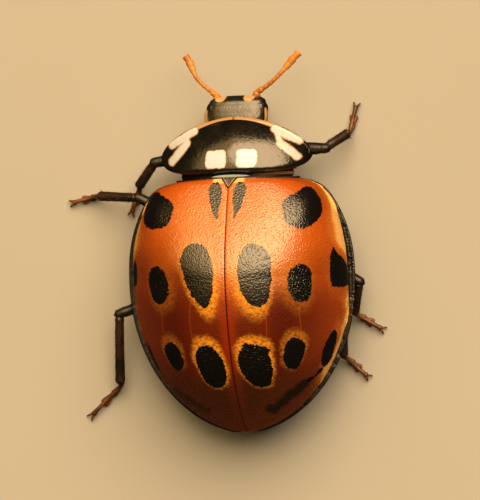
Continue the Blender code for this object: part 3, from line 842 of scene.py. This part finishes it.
def belly(x, y):
    """Underside of the trunk: lowest along the midline, rising to the sides and to the tail."""
    return 0.85 + 0.42 * (x / 2.4) ** 2 + 0.05 * np.clip(y - 1.0, 0.0, 4.0) ** 2


def trunk(name, stations, half, top, nodes, plates):
    """A length of trunk: superellipse sections with a flat underside, stepped at each plate's rear edge."""
    y, turn = stations[:, None], full_turn(180)
    up = np.sin(turn)
    x = half(y) * bent(np.cos(turn), 2 / TRUNK_POWER)
    mid = RIM_Z + 0.02
    above = mid + (top(y) - mid) * np.abs(up) ** 0.8
    below = mid - (mid - belly(x, y)) * np.abs(up) ** 0.55
    z = np.where(up > 0, above, below)
    step = np.zeros_like(y)
    for low, high in zip(plates, plates[1:]):
        step = np.where((y >= low) & (y < high), PLATE_STEP * ramp(y, low, high) ** 3, step)
    z = z - step * np.clip(-up, 0, 1) ** 0.5 + 0.004 * rough(grid_of(x, y, z), 0.25, 21)
    return barrel(name, [grid_of(x, y, z)], BLACK_LOOK, nodes)


def under_case(y):
    """Half-width of the trunk below the wing cases, inside their edge."""
    y = np.maximum(y, -2.5)
    return np.maximum(np.minimum(back_plain(y) - TRUNK_INSET, back_half(y) - 0.3 * TRUNK_INSET), 0.05)


def under_dome(y):
    """Height of the trunk's top, under the dome of the wing cases."""
    return RIM_Z + back_rise(np.maximum(y, BACK_FRONT)) - 0.60


trunk("belly", np.linspace(0.29, 3.46, 150), under_case, under_dome, ["abdomen"],
      (0.29, 1.05, 1.62, 2.14, 2.62, 3.08, 3.46))
trunk("mid_body", np.linspace(-2.60, 0.25, 130), under_case, under_dome, ["thorax"],
      (-2.6, -1.45, -1.0, 0.25))
trunk("front_body", np.linspace(-3.79, -2.80, 80),
      lambda y: profile(y, (-3.79, -3.4, -3.0, -2.8), (1.05, 1.48, 1.60, 1.55)),
      lambda y: shield_top(0 * y, y) - 0.50, ["prothorax"], (-3.79, -3.1, -2.8))


def collar():
    """The fold between neck shield and wing cases: a low saddle that narrows to round ends."""
    way, across = np.linspace(-1, 1, 24)[:, None], np.linspace(-1, 1, 120)
    x = 1.50 * across
    front, rear = SHIELD_SIDE_Y + 0.15, BACK_FRONT + 0.20
    y = (front + rear) / 2 + (rear - front) / 2 * way * (1 - across**4) ** 0.5
    behind = RIM_Z + back_rise(np.maximum(y, BACK_FRONT)) * back_arch(np.abs(x) / 2.35, BACK_FRONT)
    z = np.minimum(shield_top(x, y), behind) - 0.24 - 0.10 * (1 - way**2) - 0.35 * across**6
    return pillow("neck_fold", grid_of(x, y, z), 0.30, fold_look(), [], edge=4)


# the fold's near-black is partly painted shade, the shadow in the gap under the neck shield's rear edge
FOLD_SHADE, FOLD_TAN = (0.010, 0.006, 0.004), (0.45, 0.24, 0.08)


def fold_look():
    """Dark: its own dark cuticle and the painted shade of the gap under the shield's rear edge, with a thin
    tan line along the right half.
    """
    look = new_look("neck_fold", Roughness=0.45)
    place = body_mm(look)
    x, y, _ = split(place)
    off = x * -1.0 + MID_X + cloud(place, 3.0) * 0.25
    ahead = y * -1.0 + (WIDE_Y + BACK_FRONT)
    strip = eased(ahead, 0.15, 0.12) * eased(ahead, 0.05, 0.08) * eased(off, 0.55, 0.85)
    return finished(look, painted(FOLD_SHADE, (strip, FOLD_TAN)),
                    cloud(place, 30.0, 3.0, 0.6), 0.0080)


collar()


# ==== Head =======================================================================================
# A short broad capsule of black cuticle, sunk into the neck shield to behind the eyes. It bears two
# pale marks beside the eyes and ends in a plate over the mouth.
head_low, head_high = body_box("head")
HEAD_LONG = head_high[1] - head_low[1] + 0.08
HEAD_BLACK, HEAD_GREY = (0.007, 0.006, 0.006), (0.016, 0.013, 0.012)
MARK_TAN = (0.50, 0.34, 0.18)
MARK_Y, MARKS_X = -4.75, (0.42, -0.36)
MARK_HALF = (0.150, 0.115, 1.0)


def head_capsule():
    """Superellipse sections along the head: width and height follow smooth lines from neck to face."""
    turn = full_turn(150)
    share = np.sin(np.linspace(0, math.pi / 2, 110)[:, None]) ** 1.15
    y = head_high[1] + 0.02 - HEAD_LONG * share
    half = profile(share, (0, 0.25, 0.55, 0.75, 0.90, 1.0), (0.62, 0.74, 0.77, 0.75, 0.69, 0.52))
    top = profile(share, (0, 0.25, 0.5, 0.75, 0.90, 1.0), (1.54, 1.55, 1.53, 1.47, 1.37, 1.14))
    under = profile(share, (0, 0.25, 0.5, 0.75, 0.90, 1.0), (0.84, 0.74, 0.70, 0.70, 0.75, 0.86))
    rings = grid_of(half * bent(np.cos(turn), 0.64), y,
                    (top + under) / 2 + (top - under) / 2 * bent(np.sin(turn), 0.50))
    return barrel("head_capsule", [roughened(rings, (0.0035, 0.10, 31))], head_look(), ["head"])


def head_look():
    """Black cuticle, finely pitted, with a pale oval on the front corner beside each eye."""
    look = new_look("head", Roughness=0.30, IOR=1.80)
    place = body_mm(look)
    flat = ragged(place, 0.02, 0.012).times((1.0, 1.0, 0.0))
    marks = reduce(Feed.least, [spot(flat, (MID_X + x, WIDE_Y + MARK_Y, 0.0), MARK_HALF, 0.0, 2.4, 0.0)
                                for x in MARKS_X])
    share = within(marks, 0.012) * eased(split(place)[2], 0.98, 1.04)
    colour = painted(HEAD_BLACK, (eased(cloud(place, 3.0, 4.0), 0.35, 0.65), HEAD_GREY), (share, MARK_TAN))
    grain = cloud(place, 45.0, 3.0, 0.6)
    return finished(look, colour, pits_and_grain(place, 18.0, 0.5, grain, 0.6), 0.0050,
                    Roughness=eased(grain, 0.3, 0.7, 0.26, 0.38))


head_capsule()


# ==== Eyes =======================================================================================
# Black compound eyes on the sides of the head: bulging caps of some hundreds of lenses, each cap
# notched in front where the feeler is set.
EYE_DARK, EYE_PALE = (0.006, 0.005, 0.005), (0.022, 0.016, 0.012)
LENSES = 34.0               # in each mm


def eye_look():
    """Black gloss under a clear coat; each cell of the pattern is a lens, domed and paler in its middle."""
    look = new_look("eye", Roughness=0.16, Coat_Weight=0.6, Coat_Roughness=0.05)
    lens = eased(add("TexVoronoi", body_mm(look), LENSES, None, None, None, 0.35), 0.0, 0.75, 1.0, 0.0)
    return finished(look, painted(EYE_DARK, (lens, EYE_PALE)), lens, 0.0060)


def eye(word, side, look):
    """A cap on the side of the head: ovals that shrink outwards, each with a dent in front."""
    middle = sum(body_box(f"eye_{word}")) / 2
    way, turn = np.linspace(0, 1, 34)[:, None], full_turn(72)
    reach = (1 - way**2) ** 0.45
    dent = 1 - 0.22 * bell(turn, math.pi, 0.35)
    y = middle[1] - 0.03 + 0.25 * reach * dent * np.cos(turn)
    z = middle[2] - 0.01 + 0.27 * reach * np.sin(turn)
    rings = grid_of(side * (0.62 + 0.20 * way), y, z)
    return barrel(f"compound_eye_{word}", [rings], look, [f"eye_{word}"])


EYE_LOOK = eye_look()
for word, side in SIDES:
    eye(word, side, EYE_LOOK)


# ==== Mouth ======================================================================================
# The upper lip under the face, and a palp on each side that ends in a broad axe-shaped joint. A pale
# lobe of the neck shield clasps the head on each side above them. All are cuticle, rust to black.
def tube(path, wide, tall, count=24):
    """Rings square to a path, wide across and tall upwards, the upward side kept near +z."""
    heading = unit(np.gradient(path, axis=0))
    across = unit(np.cross(heading, (0.0, 0.0, 1.0)))
    rise = np.cross(across, heading)
    turn = full_turn(count)[None, :, None]
    wide, tall = (size[:, None, None] for size in (wide, tall))
    return path[:, None] + wide * np.cos(turn) * across[:, None] + tall * np.sin(turn) * rise[:, None]


def curve(points, count):
    """A smooth path through points, read at equal steps: a Catmull-Rom curve on whole arrays."""
    points = np.asarray(points, float)
    ends = np.concatenate([[2 * points[0] - points[1]], points, [2 * points[-1] - points[-2]]])
    at = np.linspace(0, len(points) - 1 - 1e-9, count)
    i = at.astype(int)
    t = (at - i)[:, None]
    a, b, c, d = (ends[i + k] for k in range(4))
    return 0.5 * (2 * b + (c - a) * t + (2 * a - 5 * b + 4 * c - d) * t**2 + (3 * b - a - 3 * c + d) * t**3)


RUST_LOOK = cuticle_look("foot_rust", (0.15, 0.052, 0.016), (0.055, 0.020, 0.008), 0.38, 20.0, 0.1)
CLASP_LOOK = cuticle_look("clasp_tan", (0.34, 0.21, 0.09), (0.25, 0.14, 0.06), 0.42, 20.0)


def clasp(word, side):
    """A slim pale lobe of the neck shield's front corner that lies along the head behind the eye."""
    path = curve([(side * 0.76, -3.98, 1.36), (side * 0.80, -4.20, 1.37), (side * 0.785, -4.44, 1.32)], 40)
    way = np.linspace(0, 1, 40)
    size = (1 - (2 * way - 1) ** 4) ** 0.5 + 0.03
    rings = tube(path, 0.045 * size, 0.11 * size, 20)
    return barrel(f"head_clasp_{word}", [rings], CLASP_LOOK, [])


for word, side in SIDES:
    clasp(word, side)


def upper_lip():
    """A short plate across the mouth, rounded in front."""
    low, high = body_box("labrum")
    path = curve([(0, high[1] + 0.14, high[2] - 0.08), (0, high[1] + 0.08, (low[2] + high[2]) / 2),
                  (0, high[1] + 0.05, low[2] + 0.03)], 24)
    way = np.linspace(0, 1, 24)
    rings = tube(path, 0.26 * (1 - way**4) ** 0.5 + 0.02, 0.07 * (1 - way**3) ** 0.5 + 0.01, 40)
    return barrel("upper_lip", [rings], BLACK_LOOK, ["labrum"])


upper_lip()


def node_points(node):
    """The points of a CAD node in body millimetres."""
    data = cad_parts[node].data
    points = np.empty(len(data.vertices) * 3, np.float32)
    data.vertices.foreach_get("co", points)
    return points.reshape(-1, 3) / MM - np.array([MID_X, WIDE_Y, 0.0])


def mesh_ends(node, near):
    """The ends of a long CAD node, along its main direction, the one nearer to a point first."""
    points = node_points(node)
    middle = (points.min(0) + points.max(0)) / 2
    axis = np.linalg.svd(points - points.mean(0), full_matrices=False)[2][0]
    run = (points - middle) @ axis
    return sorted([middle + axis * run.min(), middle + axis * run.max()],
                  key=lambda end: np.linalg.norm(end - near))


def mesh_spine(node, near, count=7):
    """A path down the middle of a bent CAD node, from its end nearer to a point."""
    points = node_points(node)
    start, end = mesh_ends(node, near)
    run = (points - start) @ unit(end - start)
    width = 0.6 * run.max() / count
    stops = np.linspace(0, run.max(), count)[:, None]
    weight = bell(run, stops, width)
    return (weight @ points) / weight.sum(axis=1, keepdims=True)


def palp(word, side):
    """Four joints: the last is broad and cut square, like an axe."""
    start, end = mesh_ends(f"palp_{word}", (0, -4.3, 0.8))
    path = curve([start + (0, 0.10, 0.10), start, (start + end) / 2 + (-side * 0.03, 0.04, 0.02),
                  end + (-side * 0.10, 0.12, 0.0)], 60)
    radius = profile(np.linspace(0, 1, 60), (0, 0.2, 0.28, 0.45, 0.52, 0.60, 0.9, 0.97, 1),
                     (0.04, 0.06, 0.04, 0.065, 0.045, 0.05, 0.105, 0.10, 0.03))
    rings = tube(path, radius, np.minimum(radius, 0.05), 24)
    return barrel(f"mouth_palp_{word}", [rings], RUST_LOOK, [f"palp_{word}"])


for word, side in SIDES:
    palp(word, side)


# ==== Feelers ====================================================================================
# Eleven joints each: a thick first one, a row of slim ones and a loose club of three. Orange-brown,
# with a joint skin between them.
FEELER_LOOK = cuticle_look("feeler_orange", (0.60, 0.25, 0.045), (0.42, 0.15, 0.025), 0.36, 26.0, 0.1)
# where the feeler's joints end, as shares of its length, and their radii
JOINT_ENDS = np.array([0, 0.15, 0.24, 0.34, 0.42, 0.49, 0.56, 0.63, 0.70, 0.79, 0.89, 1.0])
JOINT_RADII = np.array([0.105, 0.085, 0.068, 0.064, 0.062, 0.062, 0.064, 0.070, 0.098, 0.112, 0.102])


def feeler(word, side):
    """A path down the CAD feeler, begun at the head; each joint widens from its base to a round end."""
    spine = mesh_spine(f"antenna_{word}", (0, -4.4, 1.1))
    path = curve(np.concatenate([[(side * 0.44, -4.62, 1.08)], spine]), 230)
    run = run_length(path[None])[0]
    way = run / run[-1]
    joint = np.clip(np.searchsorted(JOINT_ENDS, way, side="right") - 1, 0, 10)
    share = (way - JOINT_ENDS[joint]) / (JOINT_ENDS[joint + 1] - JOINT_ENDS[joint])
    shape = (0.80 + 0.20 * share**0.8) * (1 - 0.35 * ramp(share, 0.82, 1) ** 3)
    radius = JOINT_RADII[joint] * shape
    radius[-1] *= 0.3
    rings = tube(path, radius, radius * 0.92, 20)
    return barrel(f"feeler_{word}", [rings], FEELER_LOOK, [f"antenna_{word}"])


for word, side in SIDES:
    feeler(word, side)


# ==== Legs =======================================================================================
# Six black legs: a knob at the hip, a swollen thigh, a slim shin that widens a little towards its
# end, and a rusty foot of two heart-shaped soles, a claw joint and two claws.
HAIR_LONG = 0.12
HAIR_HALF = 0.005
HAIRY_FROM, HAIRY_TO = 0.14, 0.96       # shares of a limb's length
LIMB_BOW = np.array([0.0, 0.0, 0.02])   # how far a limb bows upwards
HIP_LAP, KNEE_LAP = 0.20, 0.16          # how far the thigh reaches into the hip, and the shin into it


def bristles(name, limbs, look, seed):
    """Short hairs that lie towards a limb's tip, each a three-sided spike rooted in the limb's surface.

    On the OFBake map a hair stands at its root's place on the limb unrolled, one strip for each limb.
    """
    dice = np.random.default_rng(seed)
    points, maps = [], []
    for strip, (rings, count) in enumerate(limbs):
        rows, columns = rings.shape[:2]
        i = dice.integers(int(HAIRY_FROM * rows), int(HAIRY_TO * rows), count)
        j = dice.integers(0, columns, count)
        skin, middle = rings[i, j], rings.mean(1)
        out = unit(skin - middle[i])
        lie = unit(unit(np.gradient(middle, axis=0)[i]) + out * dice.uniform(0.25, 0.70, (count, 1)))
        across = unit(np.cross(lie, out))
        rise = np.cross(across, lie)
        tip = skin + lie * HAIR_LONG * dice.uniform(0.6, 1.1, (count, 1))
        turn = full_turn(3)[None, :, None]
        root = np.cos(turn) * across[:, None] + np.sin(turn) * rise[:, None]
        root = (skin - 0.010 * out)[:, None] + HAIR_HALF * root
        points.append(np.concatenate([root, tip[:, None]], axis=1).reshape(-1, 3))
        place = np.stack([(strip + 0.05 + 0.9 * i / rows) / len(limbs), 0.05 + 0.9 * j / columns], axis=1)
        patch = 0.0015 * np.array([(-1, -1), (1, -1), (0, 1), (0, 0)])
        maps.append((place[:, None] + patch).reshape(-1, 2))
    points = np.concatenate(points)
    first = 4 * np.arange(len(points) // 4)[:, None]
    faces = np.concatenate([first + face for face in ((0, 1, 3), (1, 2, 3), (2, 0, 3), (2, 1, 0))])
    return mesh_piece(name, points, [], faces, look, [], {"OFBake": np.concatenate(maps)})


def limb(name, points, stations, radii, flat, sides, grain, look, node):
    """A thigh or shin: a smooth path through points, its radius read from radii at stations along it."""
    radius = profile(np.linspace(0, 1, 90), stations, radii)
    rings = roughened(tube(curve(points, 90), radius * flat, radius, sides), grain)
    barrel(name, [rings], look, [node])
    return rings


def foot(near, far, ankle):
    """The parts of a foot that points from near to far: four soles, the claw joint and two claws.

    Each lobe of the soles is a flattened drop, and the second pair is the broader.
    """
    flat = np.array([1.0, 1.0, 0.0])
    length = np.linalg.norm((far - near) * flat)
    ahead = (far - near) * flat / length
    sideways = np.array([ahead[1], -ahead[0], 0.0])

    def at(along, out, up):
        """A place on the foot: a share of its length along, mm to the side and mm above the floor."""
        return near * flat + ahead * (along * length) + sideways * out + (0, 0, up)

    parts = []
    way = np.linspace(0, 1, 30)
    for start, end, out, size in ((0.00, 0.36, 0.040, 0.062), (0.26, 0.62, 0.058, 0.072)):
        width = size * (0.35 + 0.65 * way) * np.sqrt(1 - ramp(way, 0.8, 1) ** 2) + 0.004
        for lobe in (1, -1):
            line = [at(start, 0, 0.20), at((start + end) / 2, lobe * out * 0.6, 0.12),
                    at(end, lobe * out, 0.065)]
            parts.append(tube(curve(line, 30), width, np.minimum(width, 0.055), 18))
    line = [ankle, at(0.08, 0, 0.30), at(0.40, 0, 0.20), at(0.75, 0, 0.16), at(0.93, 0, 0.10)]
    width = profile(np.linspace(0, 1, 50), (0, 0.15, 0.4, 0.8, 0.95, 1),
                    (0.070, 0.065, 0.045, 0.056, 0.055, 0.01))
    claw_joint = tube(curve(line, 50), width, width, 16)
    parts.append(claw_joint)
    narrower = (1 - np.linspace(0, 1, 26)) ** 0.7
    for hook in (1, -1):
        line = [at(0.90, hook * 0.02, 0.115), at(0.97, hook * 0.060, 0.115), at(1.02, hook * 0.085, 0.06),
                at(1.01, hook * 0.080, 0.006)]
        parts.append(tube(curve(line, 26), 0.030 * narrower + 0.003, 0.034 * narrower + 0.003, 10))
    return parts, claw_joint


def leg(name):
    """One leg, following the CAD leg's hip, knee, ankle and toe."""
    hip = sum(body_box(f"coxa_{name}")) / 2
    femur_near, femur_far = mesh_ends(f"femur_{name}", hip)
    ankle = mesh_ends(f"tibia_{name}", femur_far)[1]
    foot_near, foot_far = mesh_ends(f"tarsus_{name}", ankle)

    turn = np.linspace(0, math.pi, 26)
    knob = tube(hip + np.stack([0.001 * turn, 0 * turn, -0.24 * np.cos(turn)], axis=1),
                0.30 * np.sin(turn) + 0.004, 0.26 * np.sin(turn) + 0.004, 28)
    barrel(f"hip_{name}", [knob], BLACK_LOOK, [f"coxa_{name}"])

    thigh = femur_far - femur_near
    line = [femur_near - HIP_LAP * unit(thigh), femur_near + 0.25 * thigh + LIMB_BOW,
            femur_near + 0.7 * thigh + LIMB_BOW, femur_far]
    thigh_rings = limb(f"thigh_{name}", line, (0, 0.04, 0.14, 0.19, 0.30, 0.55, 0.80, 0.92, 0.97, 1),
                       (0.03, 0.11, 0.135, 0.125, 0.185, 0.210, 0.170, 0.150, 0.115, 0.02),
                       0.82, 32, (0.003, 0.12, 41), BLACK_LOOK, f"femur_{name}")
    knee = femur_far - KNEE_LAP * unit(thigh)
    shin = ankle - knee
    line = [knee, knee + 0.35 * shin + 1.75 * LIMB_BOW, knee + 0.7 * shin + LIMB_BOW, ankle + 0.03 * shin]
    shin_rings = limb(f"shin_{name}", line, (0, 0.05, 0.15, 0.5, 0.85, 0.95, 1),
                      (0.05, 0.125, 0.135, 0.140, 0.145, 0.135, 0.05),
                      0.85, 28, (0.002, 0.10, 43), SHIN_LOOK, f"tibia_{name}")
    parts, claw_joint = foot(foot_near, foot_far, ankle)
    hairy = [(thigh_rings, 70), (shin_rings, 130), (claw_joint, 30)]
    bristles(f"hairs_{name}", hairy, HAIR_LOOK, len(name))
    barrel(f"foot_{name}", parts, RUST_LOOK, [f"tarsus_{name}"])


SHIN_LOOK = cuticle_look("shin_dark", (0.032, 0.015, 0.010), (0.009, 0.007, 0.006), 0.32)
HAIR_LOOK = cuticle_look("hair_brown", (0.12, 0.07, 0.03), (0.06, 0.035, 0.018), 0.45)
for word, _ in SIDES:
    for place in ("front", "middle", "hind"):
        leg(f"{word}_{place}")


# ==== Floor, light and camera ====================================================================
# A round sheet of pale matt paper that turns up all round, lit by two warm soft lamps ahead of the
# head, a wide golden one and a smaller, brighter one, and a weak fill. The paper is left out of
# mirror reflections, as if the glossy plates mirrored a dark room.
FLOOR_FLAT = 0.75           # radii and height in metres
FLOOR_EDGE = 1.25
FLOOR_HIGH = 0.45
FLOOR_COLUMNS = 96
PAPER = (0.34, 0.355, 0.37)
PAPER_CLOUD = (0.38, 0.395, 0.41)
PAPER_FAR = (0.74, 0.77, 0.80)


def cove():
    """A round floor: flat out to FLOOR_FLAT, then a quarter of an ellipse up to its edge."""
    rise, turn = np.linspace(0, math.pi / 2, 40), full_turn(FLOOR_COLUMNS)
    out = np.concatenate([[0.01, 0.1, 0.3], FLOOR_FLAT + (FLOOR_EDGE - FLOOR_FLAT) * np.sin(rise)])[:, None]
    high = np.concatenate([np.zeros(3), FLOOR_HIGH * (1 - np.cos(rise))])[:, None]
    points = grid_of(out * np.cos(turn), out * np.sin(turn), high).reshape(-1, 3)
    step = np.arange(FLOOR_COLUMNS)
    fan = np.stack([step, (step + 1) % FLOOR_COLUMNS, np.full(FLOOR_COLUMNS, len(points))], axis=1)
    quads = grid_faces(len(out), FLOOR_COLUMNS, wrap=True)[:, ::-1]
    mesh = bpy.data.meshes.new("floor")
    mesh.from_pydata(points.tolist() + [(0.0, 0.0, 0.0)], [], quads.tolist() + fan.tolist())
    mesh.shade_smooth()
    return mesh


floor = bpy.data.objects.new("floor", cove())
bpy.context.scene.collection.objects.link(floor)
floor.visible_glossy = False
floor_look = new_look("floor", Roughness=0.75)
place = body_mm(floor_look)
# far behind the tail the paper is lighter, to make up for the light that falls off there
finished(floor_look, painted(PAPER, (cloud(place, 0.05), PAPER_CLOUD),
                             (eased(split(place)[1], 30.0, 340.0), PAPER_FAR)))
floor.data.materials.append(floor_look)

middle = Vector(placed(np.array([0.0, -0.6, 2.4])))


def softbox(name, direction, turn, distance, width, height, watts, colour):
    """An oval area light on the side given by direction, turned in its own plane, facing the back."""
    lamp = bpy.data.lights.new(name, "AREA")
    lamp.shape = "ELLIPSE"
    lamp.size, lamp.size_y = width, height
    lamp.energy = watts
    lamp.color = colour
    light = bpy.data.objects.new(name, lamp)
    heading = Vector(direction).normalized()
    facing = heading.to_track_quat("Z", "Y").to_matrix().to_4x4()
    light.matrix_world = (Matrix.Translation(middle + heading * distance) @ facing
                          @ Matrix.Rotation(math.radians(turn), 4, "Z"))
    light.visible_camera = False
    bpy.context.scene.collection.objects.link(light)


softbox("key_wide", (0.02, -0.57, 0.82), 15, 0.80, 1.44, 1.10, 8.1, (1.0, 0.61, 0.20))
softbox("key", (-0.275, -0.555, 0.785), 0, 0.78, 0.86, 0.86, 12.6, (1.0, 0.70, 0.40))
world = bpy.data.worlds.new("studio")
bpy.context.scene.world = world
world.use_nodes = True
fill = world.node_tree.nodes["Background"]
fill.inputs["Color"].default_value = (1.0, 0.78, 0.50, 1.0)
fill.inputs["Strength"].default_value = 0.02
# seen past the edge of the floor, the room has the floor's own pale tone
backdrop = add("Background", (0.60, 0.44, 0.22), tree=world.node_tree)
seen = add("LightPath", tree=world.node_tree).output("Is Camera Ray")
join(add("MixShader", seen, Feed(fill.outputs[0]), backdrop),
     world.node_tree.nodes["World Output"].inputs["Surface"])
bpy.context.scene.view_settings.view_transform = "Standard"

ROLL = math.radians(10)     # of the camera, from straight above towards the animal's right side
LEAN = math.radians(2.2)    # of the body in the view
CAMERA_AWAY = 0.12
VIEW_HEIGHT = 0.01316       # seen from the top to the bottom of the view, in metres
SENSOR = 36.0
target = Vector(placed(np.array([0.03, -0.718, 1.4])))
back = Vector((-math.sin(ROLL), 0, math.cos(ROLL)))
right_flat = Vector((-math.cos(ROLL), 0, -math.sin(ROLL)))
up_flat = Vector((0, -1, 0))
up = math.cos(LEAN) * up_flat + math.sin(LEAN) * right_flat
right = math.cos(LEAN) * right_flat - math.sin(LEAN) * up_flat
lens = bpy.data.cameras.new("camera")
lens.lens = SENSOR * CAMERA_AWAY / VIEW_HEIGHT
lens.clip_start, lens.clip_end = 0.01, 10.0
camera = bpy.data.objects.new("camera", lens)
turned = Matrix((right, up, back)).transposed().to_4x4()
camera.matrix_world = Matrix.Translation(target + back * CAMERA_AWAY) @ turned
bpy.context.scene.collection.objects.link(camera)
bpy.context.scene.camera = camera
